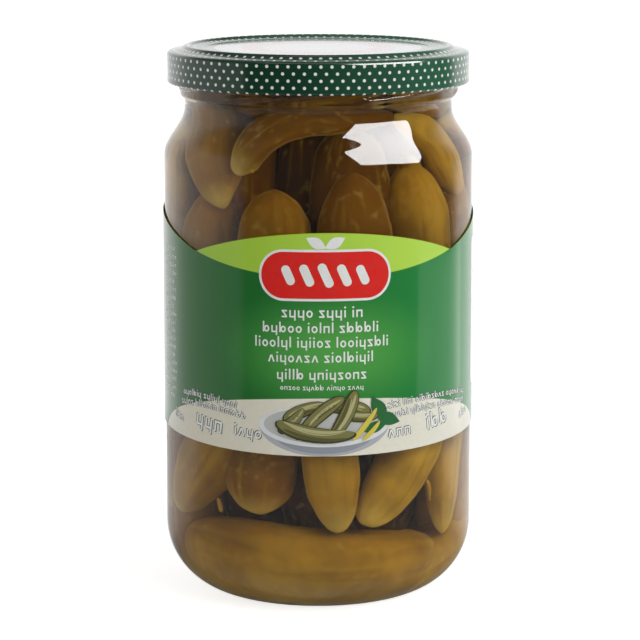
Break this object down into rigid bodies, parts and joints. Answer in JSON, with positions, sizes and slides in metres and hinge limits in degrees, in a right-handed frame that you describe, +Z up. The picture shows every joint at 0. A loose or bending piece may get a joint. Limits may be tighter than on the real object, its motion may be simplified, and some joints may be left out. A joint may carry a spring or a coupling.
{
  "type": "pickle jar",
  "caption": "Tall round glass jar of whole pickled cucumbers in brine, with a dotted twist-off lid and a wrap-round label with a curved upper edge.",
  "frame": {"origin": "middle of the base, on the surface that the jar stands on", "axes": "+Z up along the jar's axis, -Y towards the middle of the label"},
  "size_m": [0.0896, 0.0896, 0.1589],
  "materials": {
    "glass": "clear flint glass, smooth",
    "lid": "glossy dark green lacquer with small white dots",
    "label": "printed label with a satin varnish",
    "cucumber": "wet olive-brown skin"
  },
  "bodies": {
    "root": {"glass_jar": "glass", "twist_lid": "lid", "wrap_label": "label", "cucumbers": "cucumber"}
  },
  "joints": []
}
